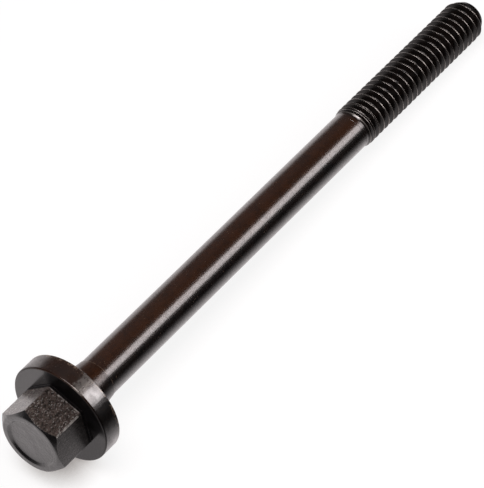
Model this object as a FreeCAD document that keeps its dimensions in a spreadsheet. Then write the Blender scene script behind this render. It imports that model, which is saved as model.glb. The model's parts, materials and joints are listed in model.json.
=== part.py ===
"""Cylinder head bolt: hexagon head with an integral flange, tapered neck, reduced shank and
rolled thread with a chamfered point. It is one forging, so it is one solid. Millimetres, +Z up.

The bolt lies as it comes to rest on a level surface: on the rear edge of its flange and on the
last thread crests, with its axis along +X and dipping slightly towards the point. The origin is
under the middle of the bolt, on the surface.
"""
import FreeCAD, Part
import math
import os
import Sketcher

NODE = "cylinder_head_bolt"

# Driving dimensions, in millimetres and degrees. Lengths along the bolt start at the bearing
# face, which is the rear face of the flange.
SIZES = {
    "across_flats": 16.0,
    "hexagon_turn": 16.1,
    "corner_round": 0.35,
    "head_height": 15.2,
    "top_face_dia": 15.5,
    "top_chamfer": 40.0,
    "dish_dia": 13.0,
    "dish_floor_dia": 11.6,
    "dish_depth": 0.6,
    "flange_dia": 26.2,
    "flange_thickness": 4.9,
    "flange_front_bevel": 0.5,
    "flange_rear_bevel": 0.3,
    "seat_dia": 14.4,
    "seat_flare": 1.0,
    "neck_dia": 12.2,
    "neck_end_dia": 10.4,
    "neck_length": 8.0,
    "shank_dia": 10.1,
    "thread_dia": 11.0,
    "root_dia": 8.7,
    "thread_pitch": 2.0,
    "flank_angle": 30.0,
    "swell_start": 104.6,
    "swell_end": 107.4,
    "groove_start": 108.2,
    "runout_turns": 1.5,
    "point_dia": 7.9,
    "point_length": 2.65,
    "bolt_length": 156.1,
}

# How far the thread's cutters reach past the crests, and how far out the corner chamfer's cutter
# reaches as a share of the size across flats.
CUTTER_MARGIN = 0.15
CHAMFER_REACH = 0.65

# The hexagon's sides, the turn from one to the next, and how a side leans from its first corner.
SIDES = 6
SIDE_TURN = 360 / SIDES
SIDE_LEAN = 90 + SIDE_TURN / 2

# Lengths closer than this count as the same, and edges longer than this can be long corners.
SAME_LENGTH = 1e-4
LONG_EDGE = 1.0

# The least volume in cubic millimetres that a thread cut has to take away.
LEAST_CUT = 1.0


def make_sheet(doc):
    """Put the driving dimensions into a spreadsheet, one named cell each."""
    sheet = doc.addObject("Spreadsheet::Sheet", "sizes")
    for row, (name, value) in enumerate(SIZES.items(), start=1):
        sheet.set(f"A{row}", name)
        sheet.set(f"B{row}", str(value))
        sheet.setAlias(f"B{row}", name)
    doc.recompute()
    return sheet


def origin_plane(body, role):
    """Return one of the body's own origin planes, such as XZ_Plane."""
    return next(item for item in body.Origin.OriginFeatures if item.Role == role)


def flat_sketch(body, name, role):
    """Add an empty sketch on one of the body's origin planes."""
    sketch = body.newObject("Sketcher::SketchObject", name)
    sketch.AttachmentSupport = [(origin_plane(body, role), "")]
    sketch.MapMode = "FlatFace"
    return sketch


def bind_distance(sketch, kind, line, value, expression):
    """Tie one coordinate of a line's first point to an expression, measured from the origin."""
    if abs(value) < SAME_LENGTH:
        axis = -1 if kind == "DistanceY" else -2
        sketch.addConstraint(Sketcher.Constraint("PointOnObject", line, 1, axis))
        return
    if value > 0:
        ends, sign = (-1, 1, line, 1), ""
    else:
        ends, sign = (line, 1, -1, 1), "-"
    index = sketch.addConstraint(Sketcher.Constraint(kind, *ends, abs(value)))
    sketch.setExpression(f"Constraints[{index}]", f"{sign}({expression})")


def polygon_sketch(body, sheet, name, corners):
    """Draw a closed half section in the XZ plane from (along the bolt, radius) expressions."""
    sketch = flat_sketch(body, name, "XZ_Plane")
    points = [tuple(float(sheet.evalExpression(text)) for text in corner) for corner in corners]
    count = len(points)
    for index, start in enumerate(points):
        end = points[(index + 1) % count]
        sketch.addGeometry(Part.LineSegment(FreeCAD.Vector(*start, 0), FreeCAD.Vector(*end, 0)))
    for index in range(count):
        sketch.addConstraint(Sketcher.Constraint("Coincident", index, 2, (index + 1) % count, 1))
    for index, (point, corner) in enumerate(zip(points, corners)):
        bind_distance(sketch, "DistanceX", index, point[0], corner[0])
        bind_distance(sketch, "DistanceY", index, point[1], corner[1])
    return sketch


def add_revolved(body, kind, name, sketch):
    """Turn a half section about the bolt's axis, adding (Revolution) or cutting (Groove)."""
    feature = body.newObject(f"PartDesign::{kind}", name)
    feature.Profile = sketch
    feature.ReferenceAxis = (sketch, ["H_Axis"])
    feature.Angle = 360
    return feature


def circle_edge(shape, along, radius):
    """Name the full circle about the bolt's axis at a place along it and of a radius."""
    for index, edge in enumerate(shape.Edges, start=1):
        curve = edge.Curve
        if not isinstance(curve, Part.Circle) or abs(curve.Radius - radius) > SAME_LENGTH:
            continue
        if curve.Center.distanceToPoint(FreeCAD.Vector(along, 0, 0)) < SAME_LENGTH:
            return f"Edge{index}"
    raise RuntimeError(f"no circle of radius {radius} at {along}")


def turned_blank(body, sheet):
    """Turn the flange, the flared and tapered neck, the reduced shank and the thread blank."""
    sketch = polygon_sketch(body, sheet, "turned_section", [
        ("-sizes.flange_thickness", "0"),
        ("-sizes.flange_thickness", "sizes.flange_dia / 2"),
        ("0", "sizes.flange_dia / 2"),
        ("0", "sizes.seat_dia / 2"),
        ("sizes.seat_flare", "sizes.neck_dia / 2"),
        ("sizes.neck_length", "sizes.neck_end_dia / 2"),
        ("sizes.neck_length", "sizes.shank_dia / 2"),
        ("sizes.swell_start", "sizes.shank_dia / 2"),
        ("sizes.swell_end", "sizes.thread_dia / 2"),
        ("sizes.bolt_length - sizes.point_length", "sizes.thread_dia / 2"),
        ("sizes.bolt_length", "sizes.point_dia / 2"),
        ("sizes.bolt_length", "0"),
    ])
    return add_revolved(body, "Revolution", "turned_blank", sketch)


def bevel_flange(body, sheet, blank):
    """Bevel the flange's front and rear rims."""
    last = blank
    for name, along in (("flange_front_bevel", -sheet.flange_thickness), ("flange_rear_bevel", 0)):
        body.Document.recompute()
        rim = circle_edge(last.Shape, along, sheet.flange_dia / 2)
        bevel = body.newObject("PartDesign::Chamfer", name)
        bevel.Base = (last, [rim])
        bevel.setExpression("Size", f"sizes.{name}")
        last = bevel


def hexagon(body, sheet):
    """Raise the hexagon from the flange's front face to the top of the head."""
    sketch = flat_sketch(body, "hexagon_section", "YZ_Plane")
    outer = sheet.across_flats / 2 / math.cos(math.radians(SIDE_TURN / 2))
    for index in range(SIDES):
        start, end = (math.radians(sheet.hexagon_turn + SIDE_TURN * step)
                      for step in (index, index + 1))
        sketch.addGeometry(Part.LineSegment(
            FreeCAD.Vector(outer * math.cos(start), outer * math.sin(start), 0),
            FreeCAD.Vector(outer * math.cos(end), outer * math.sin(end), 0)))
    guide = sketch.addGeometry(Part.Circle(FreeCAD.Vector(), FreeCAD.Vector(0, 0, 1), outer), True)
    sketch.addConstraint(Sketcher.Constraint("Coincident", guide, 3, -1, 1))
    size = sketch.addConstraint(Sketcher.Constraint("Diameter", guide, 2 * outer))
    sketch.setExpression(f"Constraints[{size}]", f"sizes.across_flats / cos({SIDE_TURN / 2} deg)")
    for index in range(SIDES):
        sketch.addConstraint(Sketcher.Constraint("Coincident", index, 2, (index + 1) % SIDES, 1))
        sketch.addConstraint(Sketcher.Constraint("PointOnObject", index, 1, guide))
    for index in range(1, SIDES):
        sketch.addConstraint(Sketcher.Constraint("Equal", 0, index))
    first_side = math.radians(sheet.hexagon_turn + SIDE_LEAN)
    turn = sketch.addConstraint(Sketcher.Constraint("Angle", 0, first_side))
    sketch.setExpression(f"Constraints[{turn}]", f"(sizes.hexagon_turn + {SIDE_LEAN}) * 1 deg")
    pad = body.newObject("PartDesign::Pad", "hexagon_head")
    pad.Profile = sketch
    pad.Reversed = True
    pad.setExpression("Length", "sizes.head_height")
    return pad


def chamfer_head(body, sheet):
    """Turn off the hexagon's corners at the top and sink the shallow dish."""
    reach = f"sizes.across_flats * {CHAMFER_REACH}"
    corner_chamfer = polygon_sketch(body, sheet, "chamfer_section", [
        ("-sizes.head_height", "sizes.top_face_dia / 2"),
        ("-sizes.head_height", reach),
        (f"-sizes.head_height + ({reach} - sizes.top_face_dia / 2) * tan(sizes.top_chamfer * 1 deg)",
         reach),
    ])
    add_revolved(body, "Groove", "top_chamfer_cut", corner_chamfer)
    body.Document.recompute()
    dish = polygon_sketch(body, sheet, "dish_section", [
        ("-sizes.head_height", "0"),
        ("-sizes.head_height", "sizes.dish_dia / 2"),
        ("-sizes.head_height + sizes.dish_depth", "sizes.dish_floor_dia / 2"),
        ("-sizes.head_height + sizes.dish_depth", "0"),
    ])
    return add_revolved(body, "Groove", "top_dish", dish)


def round_corners(body, sheet, head):
    """Round the hexagon's long corners."""
    corners = []
    for index, edge in enumerate(head.Shape.Edges, start=1):
        start, end = edge.Vertexes[0].Point, edge.Vertexes[-1].Point
        lengthwise = isinstance(edge.Curve, Part.Line) and abs(start.x - end.x) > LONG_EDGE
        if lengthwise and math.hypot(start.y, start.z) > sheet.across_flats / 2:
            corners.append(f"Edge{index}")
    rounding = body.newObject("PartDesign::Fillet", "hexagon_corners")
    rounding.Base = (head, corners)
    rounding.setExpression("Radius", "sizes.corner_round")
    return rounding


def cut_groove(body, sheet, name, towards_head):
    """Cut a right-hand V groove along a helix from where the full thread starts.

    Towards the point it is the thread. Towards the head it climbs a cone and runs out.
    """
    outside = f"(sizes.thread_dia / 2 + {CUTTER_MARGIN})"
    reach = f"({outside} - sizes.root_dia / 2) * tan(sizes.flank_angle * 1 deg)"
    sketch = polygon_sketch(body, sheet, f"{name}_section", [
        ("sizes.groove_start", "sizes.root_dia / 2"),
        (f"sizes.groove_start + {reach}", outside),
        (f"sizes.groove_start - {reach}", outside),
    ])
    body.Document.recompute()
    groove = body.newObject("PartDesign::SubtractiveHelix", name)
    groove.Profile = sketch
    groove.ReferenceAxis = (sketch, ["H_Axis"])
    groove.LeftHanded = False
    groove.Reversed = towards_head
    groove.setExpression("Pitch", "sizes.thread_pitch")
    if towards_head:
        groove.Mode = "pitch-turns-angle"
        groove.setExpression("Turns", "sizes.runout_turns")
        groove.setExpression("Angle", "atan((sizes.shank_dia - sizes.root_dia) / 2"
                                      " / (sizes.runout_turns * sizes.thread_pitch))")
    else:
        groove.Mode = "pitch-height-angle"
        groove.setExpression("Height", "sizes.bolt_length + sizes.thread_pitch - sizes.groove_start")
    return groove


def cut_thread(body, sheet):
    """Cut the thread and its run-out, and check that each one really removes material."""
    for name, towards_head in (("thread_groove", False), ("thread_runout", True)):
        before = body.Shape.Volume
        cut_groove(body, sheet, name, towards_head)
        body.Document.recompute()
        if body.Shape.Volume > before - LEAST_CUT:
            raise RuntimeError(f"{name} cuts nothing")


def rest_placement(sheet):
    """Lay the bolt on the flange's rear edge and the last full thread crest."""
    crest_along = sheet.bolt_length - sheet.point_length
    crest_drop = sheet.thread_dia / 2
    edge_along = -sheet.flange_rear_bevel
    edge_drop = sheet.flange_dia / 2
    tilt = math.atan2(edge_drop - crest_drop, crest_along - edge_along)
    height = crest_along * math.sin(tilt) + crest_drop * math.cos(tilt)
    rear = -sheet.head_height * math.cos(tilt) - sheet.top_face_dia / 2 * math.sin(tilt)
    front = sheet.bolt_length * math.cos(tilt) + sheet.point_dia / 2 * math.sin(tilt)
    turn = FreeCAD.Rotation(FreeCAD.Vector(0, 1, 0), math.degrees(tilt))
    return FreeCAD.Placement(FreeCAD.Vector(-(rear + front) / 2, 0, height), turn)


def check_document(doc):
    """Stop when any object of the document failed to build."""
    for item in doc.Objects:
        if {"Invalid", "Error"} & set(item.State):
            raise RuntimeError(f"{item.Name} failed to build: {item.State}")


def main():
    """Build the bolt, check it and write it out."""
    doc = FreeCAD.newDocument("bolt")
    sheet = make_sheet(doc)
    body = doc.addObject("PartDesign::Body", NODE)
    body.Label = NODE
    blank = turned_blank(body, sheet)
    bevel_flange(body, sheet, blank)
    doc.recompute()
    hexagon(body, sheet)
    doc.recompute()
    head = chamfer_head(body, sheet)
    doc.recompute()
    round_corners(body, sheet, head)
    doc.recompute()
    cut_thread(body, sheet)
    body.Placement = rest_placement(sheet)
    doc.recompute()
    check_document(doc)
    shape = body.Shape
    if shape.isNull() or not shape.isValid() or len(shape.Solids) != 1:
        raise RuntimeError("the bolt is not one valid solid")
    os.makedirs("parts", exist_ok=True)
    shape.exportStep(f"parts/{NODE}.step")
    box = shape.BoundBox
    print(f"{NODE}: volume {shape.Volume:.1f} mm3, {box.XLength:.2f} x {box.YLength:.2f} x "
          f"{box.ZLength:.2f} mm")


main()
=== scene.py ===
"""Cylinder head bolt in black oxide steel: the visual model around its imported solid.

The bolt is one forging, so it is one piece. It is modelled lying along +X in millimetres, with
x = 0 at the bearing face under the flange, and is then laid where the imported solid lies.
"""
import json
import logging
import math
from contextlib import contextmanager
from dataclasses import dataclass, field
from enum import Enum
from functools import cached_property
from typing import Callable, Iterator, Optional, Union

import bmesh
import bpy
from mathutils import Matrix, Vector


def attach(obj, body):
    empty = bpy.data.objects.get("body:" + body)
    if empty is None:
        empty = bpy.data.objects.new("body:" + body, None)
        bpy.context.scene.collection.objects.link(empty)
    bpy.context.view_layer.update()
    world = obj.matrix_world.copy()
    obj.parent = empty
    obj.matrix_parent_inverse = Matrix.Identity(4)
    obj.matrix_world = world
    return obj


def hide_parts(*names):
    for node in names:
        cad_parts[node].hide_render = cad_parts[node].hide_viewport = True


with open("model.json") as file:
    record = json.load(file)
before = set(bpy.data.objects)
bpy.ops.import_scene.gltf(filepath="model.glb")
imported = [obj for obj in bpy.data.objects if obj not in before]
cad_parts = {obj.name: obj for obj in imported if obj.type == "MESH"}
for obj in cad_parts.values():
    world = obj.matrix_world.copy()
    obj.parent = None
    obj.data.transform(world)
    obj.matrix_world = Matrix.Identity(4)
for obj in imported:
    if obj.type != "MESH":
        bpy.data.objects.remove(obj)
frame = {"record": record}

LOG = logging.getLogger("bolt")
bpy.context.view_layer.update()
CAD_NODE = "cylinder_head_bolt"
BODY = "root"
MILLIMETRE = 0.001
FULL_TURN = 2 * math.pi
TOUCH = 1e-3
DOUBLED = 5e-4
TINY = 1e-6
SOCKET_KINDS = {"VALUE": "NodeSocketFloat", "VECTOR": "NodeSocketVector"}

Station = tuple[float, float]
Span = tuple[float, float]
Place = tuple[float, float, float]
Colour = tuple[float, float, float, float]
Number = Union[float, "Signal"]


class Finish(Enum):
    """The differently finished surfaces of the bolt, each with its own material."""

    SHANK = "turned_shank"
    THREAD = "rolled_thread"
    FLANGE_RIM = "turned_flange_rim"
    FLANGE_FACE = "forged_flange_face"
    HEXAGON = "forged_hexagon"
    HEAD_TOP = "forged_head_top"


@dataclass(frozen=True)
class Lie:
    """Where the bolt lies: its bearing face centre, how far its axis dips, and its length."""

    seat: Vector
    dip: float
    length: float

    @classmethod
    def from_record(cls, record: dict, head_height: float) -> "Lie":
        """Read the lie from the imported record's two mounts on the bolt's axis.

        Args:
            record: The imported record.
            head_height: From the bearing face to the top of the head, in millimetres.

        Returns:
            The lie of the bolt in the row frame, in metres and radians, and the length from the
            bearing face to the point in millimetres.
        """
        places = {mount["name"]: Vector(mount["pos_m"]) for mount in record["mounts"]}
        top, point = places["spanner_hexagon"], places["screw_thread"]
        axis = (point - top).normalized()
        length = (point - top).length / MILLIMETRE - head_height
        return cls(top + axis * head_height * MILLIMETRE, math.asin(-axis.z), length)

    def matrix(self) -> Matrix:
        """Return the matrix from the bolt's own millimetres to the row frame."""
        turn = Matrix.Rotation(self.dip, 4, "Y")
        return Matrix.Translation(self.seat) @ turn @ Matrix.Scale(MILLIMETRE, 4)


class Bench:
    """Modelling moves that every sub-assembly uses, one operator or a few each."""

    @staticmethod
    def clear() -> None:
        """Deselect every object."""
        if bpy.context.object and bpy.context.object.mode != "OBJECT":
            bpy.ops.object.mode_set(mode="OBJECT")
        bpy.ops.object.select_all(action="DESELECT")

    @staticmethod
    def pick(piece: bpy.types.Object) -> None:
        """Select one object alone and make it the active one."""
        Bench.clear()
        piece.select_set(True)
        bpy.context.view_layer.objects.active = piece

    @staticmethod
    def settle() -> None:
        """Take the active object's place, turn and scale into its mesh."""
        bpy.ops.object.transform_apply(location=True, rotation=True, scale=True)

    @staticmethod
    def new(name: str, primitive: Callable[..., object], **settings: object) -> bpy.types.Object:
        """Add a primitive and name it.

        Args:
            name: The object's name.
            primitive: The operator that adds it.
            settings: The operator's settings.

        Returns:
            The new object, with its place in its mesh.
        """
        Bench.clear()
        primitive(**settings)
        piece = bpy.context.object
        piece.name = name
        Bench.settle()
        return piece

    @staticmethod
    @contextmanager
    def editing(piece: bpy.types.Object, select: str) -> Iterator[None]:
        """Open edit mode on a piece with nothing selected.

        Args:
            piece: The mesh object to edit.
            select: The select mode: VERT, EDGE or FACE.

        Yields:
            Nothing; edit mode is left again afterwards.
        """
        Bench.pick(piece)
        bpy.ops.object.mode_set(mode="EDIT")
        bpy.ops.mesh.select_mode(type=select)
        bpy.ops.mesh.select_all(action="DESELECT")
        yield
        bpy.ops.object.mode_set(mode="OBJECT")

    @staticmethod
    def select(piece: bpy.types.Object, kind: str, test: Callable[..., bool]) -> int:
        """Select elements of the piece in edit mode by a test on each.

        Args:
            piece: The mesh object in edit mode.
            kind: Which elements to test: verts, edges or faces.
            test: Says whether an element is wanted.

        Returns:
            How many elements were selected.
        """
        mesh = bmesh.from_edit_mesh(piece.data)
        wanted = [item for item in getattr(mesh, kind) if test(item)]
        for item in wanted:
            item.select_set(True)
        mesh.select_flush_mode()
        bmesh.update_edit_mesh(piece.data)
        return len(wanted)

    @staticmethod
    def turn(start: float, radius: float, stations: list[Station]) -> None:
        """Extrude the selected ring through turned stations along the bolt's axis.

        Args:
            start: Where the selected ring stands along the axis.
            radius: The selected ring's radius.
            stations: Pairs of place along the axis and radius.
        """
        along, size = start, radius
        for place, wanted in stations:
            bpy.ops.mesh.extrude_region_move(TRANSFORM_OT_translate={"value": (place - along, 0, 0)})
            bpy.ops.transform.resize(
                value=(1, wanted / size, wanted / size), center_override=(place, 0, 0))
            along, size = place, wanted

    @staticmethod
    def apply(piece: bpy.types.Object, kind: str, **settings: object) -> None:
        """Add a modifier of a kind with settings and apply it at once."""
        Bench.pick(piece)
        bpy.ops.object.modifier_add(type=kind)
        modifier = piece.modifiers[-1]
        for name, value in settings.items():
            setattr(modifier, name, value)
        bpy.ops.object.modifier_apply(modifier=modifier.name)

    @staticmethod
    def close_up(piece: bpy.types.Object) -> None:
        """Merge doubled points and turn all faces outwards."""
        with Bench.editing(piece, "VERT"):
            bpy.ops.mesh.select_all(action="SELECT")
            bpy.ops.mesh.remove_doubles(threshold=DOUBLED)
            bpy.ops.mesh.normals_make_consistent(inside=False)


def stands_at(item: Union[bmesh.types.BMEdge, bmesh.types.BMFace], place: float) -> bool:
    """Say whether all corners of an edge or a face stand at a place along the axis."""
    return all(abs(corner.co.x - place) < TOUCH for corner in item.verts)


def quarter_round(centre: Station, radius: float, start: float, end: float, steps: int) -> list[Station]:
    """Give the stations of a rounded rim or a fillet.

    Args:
        centre: The arc's centre, as place along the axis and radius from it.
        radius: The arc's radius.
        start: The direction of the first point in degrees, 0 towards the point of the bolt and
            90 away from its axis.
        end: The direction of the last point in degrees.
        steps: How many straight steps the arc has.

    Returns:
        The stations in order, the first and last on the arc's ends.
    """
    angles = [math.radians(start + (end - start) * step / steps) for step in range(steps + 1)]
    return [(centre[0] + radius * math.cos(a), centre[1] + radius * math.sin(a)) for a in angles]


def share_of(value: float, low: float, high: float) -> float:
    """Give how far a value lies from low to high, kept between 0 and 1."""
    return min(max((value - low) / (high - low), 0.0), 1.0)


def smooth(value: float, low: float, high: float) -> float:
    """Ease from 0 at low to 1 at high, level at both ends."""
    share = share_of(value, low, high)
    return share * share * (3 - 2 * share)


@dataclass
class RolledThread:
    """The right-hand rolled thread, with its run-out and its chamfered point."""

    major_radius: float = 5.5
    minor_radius: float = 4.28
    blank_radius: float = 5.05
    pitch: float = 2.0
    flank_degrees: float = 30.0
    root_radius: float = 0.289
    root_steps: int = 3
    crest_round: float = 0.07
    crest_inset: float = 0.6
    crest_middle: Station = (0.1, 0.3)
    crest_steps: int = 5
    crest_phase: float = 0.70
    start: float = 102.4
    end: float = 156.1
    spare_turns: int = 5
    lip_rise: Span = (105.0, 107.2)
    root_sink: Span = (104.6, 113.0)
    least_width: float = 0.08
    seam_close: Span = (107.0, 112.0)
    seam_across: Span = (0.1, 0.9)
    seam_start: float = 3.0
    seam_depth: float = 0.22
    point_length: float = 2.65
    point_radius: float = 3.95
    point_inset: float = 0.25
    steps_per_turn: int = 96

    def section(self) -> list[Station]:
        """Give one pitch of the full thread, from root centre to root centre.

        Returns:
            Pairs of place from the crest's centre and radius.
        """
        half = self.pitch / 2
        tilt = math.radians(self.flank_degrees)
        top, bend = self.major_radius, self.crest_round
        root = quarter_round((-half, self.minor_radius + self.root_radius), self.root_radius,
                             -90, -self.flank_degrees, self.root_steps)
        foot, height = root[-1]
        corner = half - (foot + half) - (top - height) * math.tan(tilt)
        drop = (-corner - bend * math.sin(tilt), top - bend * math.cos(tilt))
        middle = ((foot + drop[0]) / 2, (height + drop[1]) / 2)
        eased = (-corner - bend * self.crest_middle[0], top - bend * self.crest_middle[1])
        edge = -corner + bend * self.crest_inset
        crest = [(edge * step / self.crest_steps, top) for step in range(self.crest_steps, 0, -1)]
        rising = [*root, middle, drop, eased, *crest]
        falling = [(-place, radius) for place, radius in reversed(rising)]
        return [*rising, (0.0, top), *falling]

    def rolled(self, offset: float, radius: float, along: float) -> Station:
        """Shape one point of the section by how far the thread is rolled there.

        Where the rolling starts, the grooves are shallow and narrow and each crest is two lips
        with a seam between them. The lips meet as the grooves reach their full depth.

        Args:
            offset: Place of the point from its crest's centre in the full thread.
            radius: Radius of the point in the full thread.
            along: Place of the crest's centre along the bolt.

        Returns:
            The place from the crest's centre and the radius.
        """
        left = 1 - share_of(along + offset, *self.root_sink)
        root = self.blank_radius + (self.minor_radius - self.blank_radius) * (1 - left * left)
        depth = self.major_radius - self.minor_radius
        width = max((self.lip(along + offset) - root) / depth, self.least_width)
        half = self.pitch / 2
        reach = abs(offset)
        crest = reach <= self.crest_half
        narrowed = half - (half - reach) * width
        if crest:
            narrowed = reach * (half - (half - self.crest_half) * width) / self.crest_half
        place = along + math.copysign(narrowed, offset)
        seam = 0.0
        if crest:
            started = min(smooth(place, *self.lip_rise) * self.seam_start, 1)
            seam = self.seam_depth * started * (1 - smooth(place, *self.seam_close)) * (
                1 - smooth(reach / self.crest_half, *self.seam_across))
        shaped = root + (self.lip(place) - root) * (radius - self.minor_radius) / depth - seam
        limit = self.major_radius - (place - (self.end - self.point_length)) * (
            (self.major_radius - self.point_radius) / self.point_length)
        return place - along, min(shaped, limit)

    def lip(self, place: float) -> float:
        """Return the radius of the crests at a place along the bolt."""
        return self.blank_radius + (self.major_radius - self.blank_radius) * smooth(place, *self.lip_rise)

    @cached_property
    def crest_half(self) -> float:
        """Half of the crest's width, out to where the flanks start to fall."""
        return max(place for place, radius in self.section() if radius > self.major_radius - TINY)

    def build(self) -> bpy.types.Object:
        """Draw one pitch, sweep it along the helix and shape its run-out and point.

        Returns:
            The thread as a tube, open towards the shank and closed at the point.
        """
        piece = self._draw(self.section())
        turns = math.ceil((self.end - self.start) / self.pitch) + self.spare_turns
        Bench.apply(piece, "SCREW", axis="X", angle=FULL_TURN, screw_offset=self.pitch,
                    iterations=turns, steps=self.steps_per_turn, render_steps=self.steps_per_turn,
                    use_normal_calculate=True)
        Bench.close_up(piece)
        self._roll(piece)
        with Bench.editing(piece, "EDGE"):
            for place, side in ((self.start, True), (self.end, False)):
                bpy.ops.mesh.select_all(action="SELECT")
                bpy.ops.mesh.bisect(plane_co=(place, 0, 0), plane_no=(1, 0, 0),
                                    clear_inner=side, clear_outer=not side, use_fill=False)
            bpy.ops.mesh.select_all(action="DESELECT")
            Bench.select(piece, "edges", lambda edge: edge.is_boundary and stands_at(edge, self.end))
            Bench.turn(self.end, self.point_radius, [(self.end, self.point_radius - self.point_inset)])
            bpy.ops.mesh.edge_face_add()
        return piece

    def _draw(self, section: list[Station]) -> bpy.types.Object:
        """Draw one pitch of the thread by extruding a point along it."""
        first = self.start - 2 * self.pitch
        base = first - (first - self.crest_phase) % self.pitch
        piece = Bench.new("bolt_forging", bpy.ops.mesh.primitive_plane_add, size=1)
        place, radius = section[0]
        with Bench.editing(piece, "VERT"):
            bpy.ops.mesh.select_all(action="SELECT")
            bpy.ops.mesh.merge(type="CENTER")
            bpy.ops.transform.translate(value=(base + place, radius, 0))
            for following, wanted in section[1:]:
                bpy.ops.mesh.extrude_region_move(TRANSFORM_OT_translate={
                    "value": (following - place, wanted - radius, 0)})
                place, radius = following, wanted
        return piece

    def _roll(self, piece: bpy.types.Object) -> None:
        """Move every point of the swept thread to its rolled place."""
        for vertex in piece.data.vertices:
            _, side, up = vertex.co
            helix = self.crest_phase + self.pitch * math.atan2(up, side) / FULL_TURN
            turn = round((vertex.co.x - helix) / self.pitch)
            crest = helix + turn * self.pitch
            radius = math.hypot(side, up)
            offset, wanted = self.rolled(vertex.co.x - crest, radius, crest)
            vertex.co = (crest + offset, side * wanted / radius, up * wanted / radius)


@dataclass
class TurnedShank:
    """The turned shank, the tapered neck and the flange, worked back from the thread."""

    shank_radius: float = 5.05
    neck_length: float = 8.0
    neck_end_radius: float = 5.2
    neck_radius: float = 6.1
    seat_fillet: float = 1.1
    fillet_start_degrees: float = 265
    fillet_steps: int = 6
    flange_radius: float = 13.08
    flange_thickness: float = 4.9
    front_round: float = 0.4
    front_steps: int = 6
    rear_round: float = 0.3
    rear_steps: int = 4
    step_round: float = 0.06
    step_runs: Span = (0.2, 0.3)
    step_taper: float = 0.01
    edge_run: float = 0.15

    def stations(self) -> list[Station]:
        """Give the turned outline from the shank back to the flange's front face.

        Returns:
            Pairs of place along the axis and radius, in the order of turning.
        """
        front, step, outer = -self.flange_thickness, self.neck_length, self.flange_radius
        after, before = self.step_runs
        return [
            (step + after, self.shank_radius),
            (step + self.step_round, self.shank_radius),
            (step, self.neck_end_radius - self.step_round),
            (step - self.step_round, self.neck_end_radius),
            (step - before, self.neck_end_radius + self.step_taper),
            *quarter_round((self.seat_fillet, self.neck_radius + self.seat_fillet), self.seat_fillet,
                           self.fillet_start_degrees, 180, self.fillet_steps),
            (0.0, outer - self.rear_round - self.edge_run),
            *quarter_round((-self.rear_round, outer - self.rear_round), self.rear_round,
                           0, 90, self.rear_steps),
            *quarter_round((front + self.front_round, outer - self.front_round), self.front_round,
                           90, 180, self.front_steps),
            (front, outer - self.front_round - self.edge_run),
        ]

    def build(self, piece: bpy.types.Object, start: float) -> None:
        """Extrude the thread's open end back through the shank to the flange.

        Args:
            piece: The thread, open at its start.
            start: Where its open end stands along the axis.
        """
        with Bench.editing(piece, "EDGE"):
            Bench.select(piece, "edges", lambda edge: edge.is_boundary)
            Bench.turn(start, self.shank_radius, self.stations())


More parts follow.
